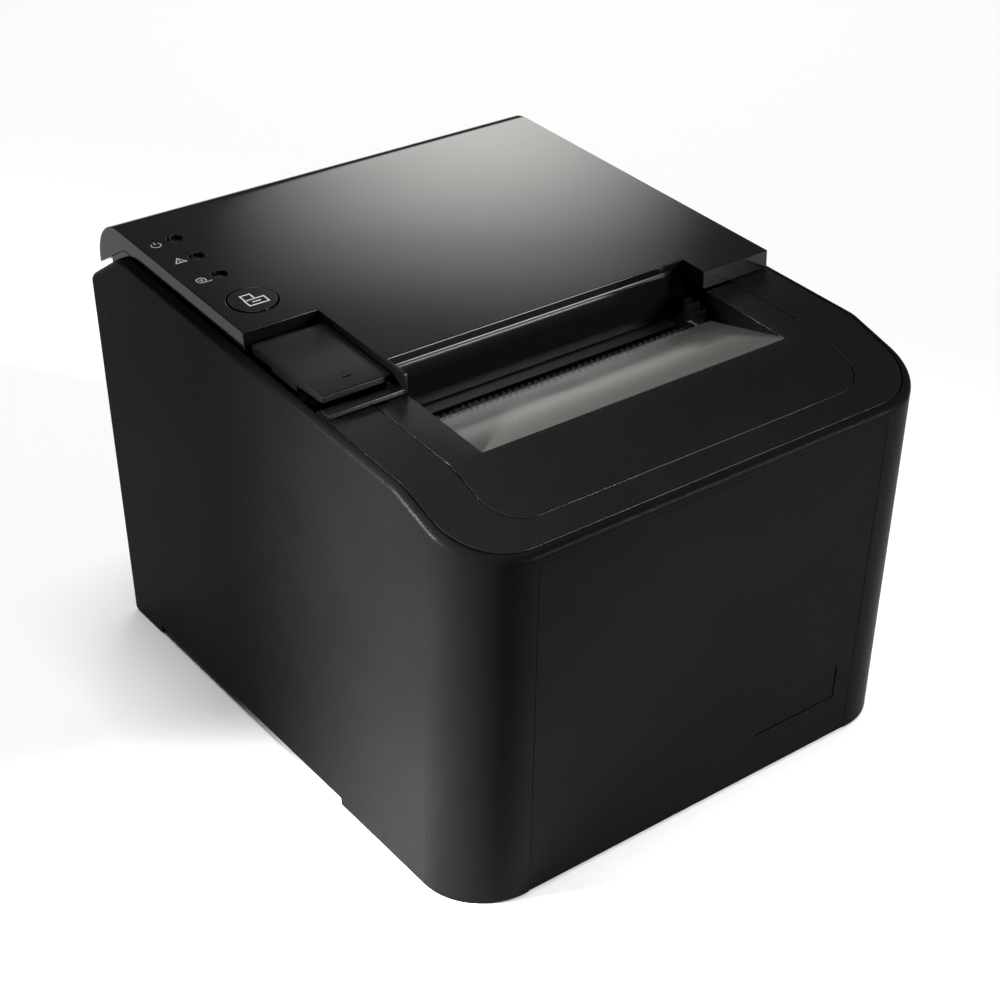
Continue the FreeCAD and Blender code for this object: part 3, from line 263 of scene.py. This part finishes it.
MATERIALS = {
    "case_black": grained_plastic("case_black", (0.0025, 0.0025, 0.0027), 0.36, 2300.0, 0.00006,
                                  specular=0.01),
    "satin_black": grained_plastic("satin_black", (0.0025, 0.0025, 0.0026), 0.3, 3600.0, 0.00002,
                                   specular=0.12),
    "inner_black": grained_plastic("inner_black", (0.006, 0.006, 0.0065), 0.55, 1800.0, specular=0.2),
    "bucket_grey": grained_plastic("bucket_grey", (0.06, 0.063, 0.066), 0.5, 1800.0),
    "socket_black": grained_plastic("socket_black", (0.018, 0.018, 0.018), 0.4, 3000.0, 0.00002),
    "chip_black": grained_plastic("chip_black", (0.02, 0.02, 0.021), 0.5, 4200.0, 0.00001),
    "feet_rubber": grained_plastic("feet_rubber", (0.02, 0.02, 0.02), 0.75, 1500.0, 0.00008),
    "platen_rubber": grained_plastic("platen_rubber", (0.035, 0.036, 0.04), 0.65, 3000.0, 0.00004),
    "gear_white": grained_plastic("gear_white", (0.72, 0.71, 0.66), 0.4, 1600.0, 0.00001, spread=0.2),
    "board_green": grained_plastic("board_green", (0.018, 0.11, 0.045), 0.28, 900.0, 0.00002, spread=0.25),
    "gloss_black": polished_plastic("gloss_black", (0.002, 0.002, 0.002), 0.1, specular=0.16),
    "key_black": polished_plastic("key_black", (0.003, 0.003, 0.0031), 0.3, 0.12, specular=0.05),
    # Grey base colour for the chute floor, much lighter than the black around it: a painted reflection.
    "chute_floor": polished_plastic("chute_floor", (0.034, 0.035, 0.032), 0.24, 0.1, specular=0.16),
    "badge": grained_plastic("badge", (0.0025, 0.0025, 0.0027), 0.36, 2300.0, 0.00006, specular=0.01),
    "lens_smoke": polished_plastic("lens_smoke", (0.002, 0.002, 0.002), 0.12),
    "capacitor_sleeve": polished_plastic("capacitor_sleeve", (0.012, 0.016, 0.06), 0.25),
    "ribbon_film": polished_plastic("ribbon_film", (0.55, 0.27, 0.05), 0.2),
    "head_ceramic": polished_plastic("head_ceramic", (0.66, 0.6, 0.5), 0.15),
    "zinc_steel": worked_metal("zinc_steel", (0.6, 0.61, 0.63), 0.32),
    "shaft_steel": worked_metal("shaft_steel", (0.66, 0.66, 0.67), 0.18),
    "blade_steel": worked_metal("blade_steel", (0.64, 0.65, 0.67), 0.22),
    "blued_steel": worked_metal("blued_steel", (0.03, 0.032, 0.038), 0.35),
    "sink_aluminium": worked_metal("sink_aluminium", (0.7, 0.71, 0.72), 0.35, 0.6),
    "socket_metal": worked_metal("socket_metal", (0.66, 0.66, 0.66), 0.25),
    "brass": worked_metal("brass", (0.72, 0.5, 0.2), 0.3),
    "icon_paint": grained_plastic("icon_paint", (0.2, 0.2, 0.2), 0.5, 4000.0, 0.00001),
    "icon_white": grained_plastic("icon_white", (0.34, 0.34, 0.33), 0.5, 4000.0, 0.00001),
}


def dress_nodes():
    """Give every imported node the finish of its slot."""
    for entry in frame["record"]["subparts"]:
        piece = nodes[entry["node"]]
        piece.data.materials.clear()
        piece.data.materials.append(MATERIALS[entry["material_slot"]])


# ------------------------------------------------------------ modelling helpers
def deselect():
    if bpy.context.object and bpy.context.object.mode != "OBJECT":
        bpy.ops.object.mode_set(mode="OBJECT")
    bpy.ops.object.select_all(action="DESELECT")


def take(name):
    piece = bpy.context.object
    piece.name = name
    piece.data.name = name
    return piece


def settle(piece, body, finish):
    """Put the place of a finished piece into its mesh, give it its finish and its body."""
    deselect()
    piece.select_set(True)
    bpy.context.view_layer.objects.active = piece
    bpy.ops.object.transform_apply(location=True, rotation=True, scale=True)
    piece.data.materials.clear()
    piece.data.materials.append(MATERIALS[finish])
    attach(piece, body)
    return piece


def on_cover(at, stand=0.0):
    """Frame lying on the cover's sloped top, X to the right and Y up the slope."""
    x, y = at
    lift = Matrix.Translation((0.0, 0.0, stand))
    return Matrix.Translation((x, y, cover_z(y))) @ Matrix.Rotation(DECK_TILT, 4, "X") @ lift


def thicken(piece, height):
    """Give a flat shape a closed body of this height."""
    deselect()
    bpy.context.view_layer.objects.active = piece
    piece.select_set(True)
    solid = piece.modifiers.new("height", "SOLIDIFY")
    solid.thickness = height
    solid.offset = 1.0
    bpy.ops.object.modifier_apply(modifier="height")


def outline(name, sides, radius, line, squeeze=(1.0, 1.0), turn=0.0):
    """A printed outline: a flat polygon or ring, inset and opened in the middle."""
    deselect()
    bpy.ops.mesh.primitive_circle_add(vertices=sides, radius=radius, fill_type="NGON")
    piece = take(name)
    piece.data.transform(Matrix.Diagonal((*squeeze, 1.0, 1.0)) @ Matrix.Rotation(turn, 4, "Z"))
    bpy.ops.object.mode_set(mode="EDIT")
    bpy.ops.mesh.select_all(action="SELECT")
    bpy.ops.mesh.inset(thickness=line)
    bpy.ops.mesh.delete(type="FACE")
    bpy.ops.object.mode_set(mode="OBJECT")
    return piece


def cut_away(piece, point, normal):
    """Cut a flat shape with a plane and drop the side its normal points to."""
    deselect()
    piece.select_set(True)
    bpy.context.view_layer.objects.active = piece
    bpy.ops.object.mode_set(mode="EDIT")
    bpy.ops.mesh.select_all(action="SELECT")
    bpy.ops.mesh.bisect(plane_co=point, plane_no=normal, clear_outer=True)
    bpy.ops.object.mode_set(mode="OBJECT")


def bar(name, centre, size, turn=0.0):
    """A short printed stroke with its corners cut."""
    deselect()
    bpy.ops.mesh.primitive_plane_add(size=1.0)
    piece = take(name)
    piece.data.transform(Matrix.Translation((*centre, 0.0)) @ Matrix.Rotation(turn, 4, "Z")
                         @ Matrix.Diagonal((*size, 1.0, 1.0)))
    bpy.ops.object.mode_set(mode="EDIT")
    bpy.ops.mesh.select_all(action="SELECT")
    bpy.ops.mesh.bevel(offset=min(size) * 0.3, segments=2, affect="VERTICES")
    bpy.ops.object.mode_set(mode="OBJECT")
    return piece


def join(name, pieces):
    deselect()
    for piece in pieces:
        piece.select_set(True)
    bpy.context.view_layer.objects.active = pieces[0]
    bpy.ops.object.join()
    return take(name)


def print_on_cover(name, pieces, at, body="cover", stand=0.0, finish="icon_paint", height=0.04 * MM):
    """Join the strokes of a symbol, give them the paint's thickness and lay them on the cover."""
    symbol = join(name, pieces)
    thicken(symbol, height)
    symbol.matrix_world = on_cover(at, stand)
    return settle(symbol, body, finish)


# ------------------------------------------------------------ symbols of the control strip
def add_symbols():
    ring = outline("power_ring", 40, 1.5 * MM, 0.32 * MM)
    cut_away(ring, (0, 0.95 * MM, 0), (0, 1, 0))
    stroke = bar("power_stroke", (0, 1.1 * MM), (0.32 * MM, 1.4 * MM))
    print_on_cover("power_symbol", [ring, stroke], POWER_AT)
    triangle = outline("alarm_triangle", 3, 2.1 * MM, 0.34 * MM)
    mark = bar("alarm_stroke", (0, 0.3 * MM), (0.34 * MM, 1.3 * MM))
    dot = bar("alarm_dot", (0, -0.65 * MM), (0.36 * MM, 0.36 * MM))
    print_on_cover("alarm_symbol", [triangle, mark, dot], ALARM_AT)
    roll = outline("roll_ring", 32, 1.45 * MM, 0.32 * MM)
    hub = outline("roll_hub", 16, 0.55 * MM, 0.25 * MM)
    strip = bar("roll_strip", (1.3 * MM, -1.35 * MM), (2.6 * MM, 0.3 * MM))
    print_on_cover("roll_symbol", [roll, hub, strip], ROLL_AT)


def add_feed_marks():
    """Printed picture of paper leaving a printer, inside the feed button's polished ring."""
    case = outline("feed_case", 4, 3.3 * MM, 0.42 * MM, (1.3, 0.72), math.radians(45))
    case.data.transform(Matrix.Translation((0.5 * MM, -1.3 * MM, 0)))
    paper = outline("feed_paper", 4, 2.3 * MM, 0.42 * MM, (1.0, 1.0), math.radians(45))
    paper.data.transform(Matrix.Translation((-0.7 * MM, 1.5 * MM, 0)))
    line = bar("feed_line", (0.5 * MM, -1.3 * MM), (2.6 * MM, 0.4 * MM))
    print_on_cover("feed_symbol", [case, paper, line], (PANEL_X, FEED_Y), "feed_key", FEED_STAND,
                   "icon_white")


def add_key_arrow():
    """Raised arrow head on the opening key, pointing to the rear."""
    deselect()
    bpy.ops.mesh.primitive_circle_add(vertices=3, radius=1.7 * MM, fill_type="NGON")
    arrow = take("key_arrow")
    thicken(arrow, 0.28 * MM)
    edge = arrow.modifiers.new("edge", "BEVEL")
    edge.width = 0.1 * MM
    edge.segments = 2
    bpy.ops.object.modifier_apply(modifier="edge")
    arrow.matrix_world = on_cover(ARROW_AT, -KEY_DROP)
    settle(arrow, "cover_key", "key_black")


# ------------------------------------------------------------ contacts inside the sockets
def contact(name, centre, size, body="printer_body", finish="brass"):
    """A stamped contact with a rounded tip that stands on the floor of a socket, pointing to the rear."""
    deselect()
    bpy.ops.mesh.primitive_cube_add(size=1.0)
    pin = take(name)
    pin.data.transform(Matrix.Translation(centre) @ Matrix.Diagonal((*size, 1.0)))
    tip = pin.modifiers.new("tip", "BEVEL")
    tip.width = min(size) * 0.3
    tip.segments = 2
    bpy.ops.object.modifier_apply(modifier="tip")
    return settle(pin, body, finish)


def add_contacts():
    """Rows of contacts on the floors of the network, cash drawer and serial sockets."""
    for socket, count, pitch, rows in (("lan_socket", 8, 1.02 * MM, (0.3,)),
                                       ("drawer_socket", 6, 1.02 * MM, (0.3,)),
                                       ("serial_socket", 5, 2.2 * MM, (-1.4, 1.4))):
        low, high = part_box(socket)
        middle_x = (low[0] + high[0]) / 2
        middle_z = (low[2] + high[2]) / 2
        for row, rise in enumerate(rows):
            for i in range(count):
                x = middle_x + (i - (count - 1) / 2) * pitch
                contact(f"{socket}_contact_{row}_{i}", (x, PLUG_FLOOR_Y + 0.25 * MM, middle_z + rise * MM),
                        (0.45 * MM, 0.5 * MM, 0.9 * MM))


# ------------------------------------------------------------ finished edges of the moulded pieces
def finish_edges(name, width, segments=2, sharp=32.0):
    """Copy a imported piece, merge its facets into whole faces and round its sharp edges slightly."""
    deselect()
    source = nodes[name]
    piece = source.copy()
    piece.data = source.data.copy()
    bpy.context.scene.collection.objects.link(piece)
    del piece["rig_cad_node"]
    piece.name = name + "_finished"
    piece.select_set(True)
    bpy.context.view_layer.objects.active = piece
    bpy.ops.mesh.customdata_custom_splitnormals_clear()
    bpy.ops.object.mode_set(mode="EDIT")
    bpy.ops.mesh.select_all(action="SELECT")
    bpy.ops.mesh.remove_doubles(threshold=0.002 * MM)
    bpy.ops.mesh.dissolve_limited(angle_limit=math.radians(0.4))
    bpy.ops.object.mode_set(mode="OBJECT")
    bpy.ops.object.shade_smooth_by_angle(angle=math.radians(sharp))
    edge = piece.modifiers.new("edge", "BEVEL")
    edge.width = width
    edge.segments = segments
    edge.limit_method = "ANGLE"
    edge.angle_limit = math.radians(sharp)
    edge.use_clamp_overlap = False
    edge.harden_normals = True
    bpy.ops.object.modifier_apply(modifier="edge")
    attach(piece, source["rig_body"])
    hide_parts(name)
    return piece


def paint_chute_reflection(piece):
    """The paper chute's floor is polished, and its grey base colour, lighter than the textured lip in front
    of it, is a painted reflection.
    """
    piece.data.materials.append(MATERIALS["chute_floor"])
    for face in piece.data.polygons:
        x, y, z = face.center
        in_chute = abs(x) < CHUTE_HALF and CHUTE_FRONT_Y < y < CHUTE_REAR_Y
        # Upward faces inside the chute get the painted reflection material.
        if in_chute and face.normal.z > 0.6 and z > CHUTE_LOW_Z:
            face.material_index = 1


def add_finished_pieces():
    for name, width in (("roll_cover", 0.22 * MM), ("open_button", 0.25 * MM), ("feed_button", 0.18 * MM),
                        ("cutter_cover", 0.12 * MM), ("front_bezel", 0.12 * MM), ("front_panel", 0.12 * MM),
                        ("badge_plate", 0.1 * MM)):
        piece = finish_edges(name, width)
        if name == "cutter_cover":
            paint_chute_reflection(piece)


# ------------------------------------------------------------ camera, light and floor
def add_camera():
    """The viewing angle: 34 degrees to the printer's left and 31 degrees above it."""
    azimuth = math.radians(-33.96)
    elevation = math.radians(30.88)
    roll = math.radians(-2.40)
    aim = Vector((-0.01226, 0.00173, 0.05407))
    distance = 0.52103
    back = Vector((math.sin(azimuth) * math.cos(elevation), -math.cos(azimuth) * math.cos(elevation),
                   math.sin(elevation)))
    data = bpy.data.cameras.new("camera")
    data.sensor_width = 36.0
    data.lens = 67.16
    data.shift_x = 0.0419
    data.shift_y = 0.01365
    data.clip_start = 0.01
    camera = bpy.data.objects.new("camera", data)
    bpy.context.scene.collection.objects.link(camera)
    right = (-back).cross(Vector((0, 0, 1))).normalized()
    up = right.cross(-back)
    right_rolled = math.cos(roll) * right + math.sin(roll) * up
    up_rolled = -math.sin(roll) * right + math.cos(roll) * up
    camera.matrix_world = Matrix.Translation(aim + back * distance) @ Matrix(
        (right_rolled, up_rolled, back)).transposed().to_4x4()
    bpy.context.scene.camera = camera


def fade_to_edges(data):
    """A softbox cloth that is bright in the middle and dark at its rim."""
    data.use_nodes = True
    tree = data.node_tree
    across = tree.nodes.new("ShaderNodeNewGeometry")
    split = tree.nodes.new("ShaderNodeSeparateXYZ")
    tree.links.new(across.outputs["Parametric"], split.inputs[0])
    glow = 1.0
    for side in ("X", "Y"):
        part = split.outputs[side]
        bulge = math_node(tree, "MULTIPLY", part, math_node(tree, "SUBTRACT", 1.0, part))
        glow = math_node(tree, "MULTIPLY", glow, math_node(tree, "MULTIPLY", bulge, 4.0))
    glow = math_node(tree, "POWER", glow, 1.3)
    tree.links.new(glow, tree.nodes["Emission"].inputs["Strength"])


def add_softbox(name, place, aim, size, power, spread=180.0, tint=(1.0, 1.0, 1.0), faded=False):
    data = bpy.data.lights.new(name, "AREA")
    data.shape = "RECTANGLE"
    data.size, data.size_y = size
    data.energy = power
    data.spread = math.radians(spread)
    data.color = tint
    if faded:
        fade_to_edges(data)
    lamp = bpy.data.objects.new(name, data)
    bpy.context.scene.collection.objects.link(lamp)
    lamp.location = place
    lamp.rotation_mode = "QUATERNION"
    lamp.rotation_quaternion = (Vector(aim) - Vector(place)).to_track_quat("-Z", "Y")
    return lamp


def add_floor():
    deselect()
    bpy.ops.mesh.primitive_plane_add(size=8.0, location=(0, 0, 0))
    floor = take("studio_floor")
    material = bpy.data.materials.new("studio_floor")
    material.use_nodes = True
    shader = material.node_tree.nodes["Principled BSDF"]
    shader.inputs["Base Color"].default_value = (0.86, 0.86, 0.86, 1.0)
    shader.inputs["Roughness"].default_value = 0.9
    shader.inputs["Specular IOR Level"].default_value = 0.0
    floor.data.materials.append(material)


def add_studio():
    world = bpy.data.worlds.new("studio")
    bpy.context.scene.world = world
    world.use_nodes = True
    world.node_tree.nodes["Background"].inputs["Color"].default_value = (0.9, 0.9, 0.9, 1.0)
    world.node_tree.nodes["Background"].inputs["Strength"].default_value = 0.06
    bpy.context.scene.view_settings.view_transform = "Standard"
    add_softbox("floor_wash", (0.0, 0.0, 3.4), (0, 0, 0), (1.9, 1.9), 128.0)
    cover_top = (0, 0, 0.12)
    add_softbox("rear_right", (0.75, 1.01, 0.68), cover_top, (0.5, 0.46), 4.4, faded=True, tint=WARM_WHITE)
    add_softbox("rear_haze", (0.72, 1.06, 0.80), cover_top, (1.2, 0.9), 0.6, faded=True, tint=WARM_WHITE)
    add_softbox("left_spot", (-0.60, 0.16, 0.20), (-0.073, -0.066, 0.05), (0.06, 0.16), 0.9, 13.0)
    add_softbox("front_right", (0.45, -0.75, 0.30), (0.03, -0.09, 0.09), (0.2, 0.3), 0.8, 30.0)


dress_nodes()
add_finished_pieces()
add_symbols()
add_feed_marks()
add_key_arrow()
add_contacts()
add_camera()
add_floor()
add_studio()
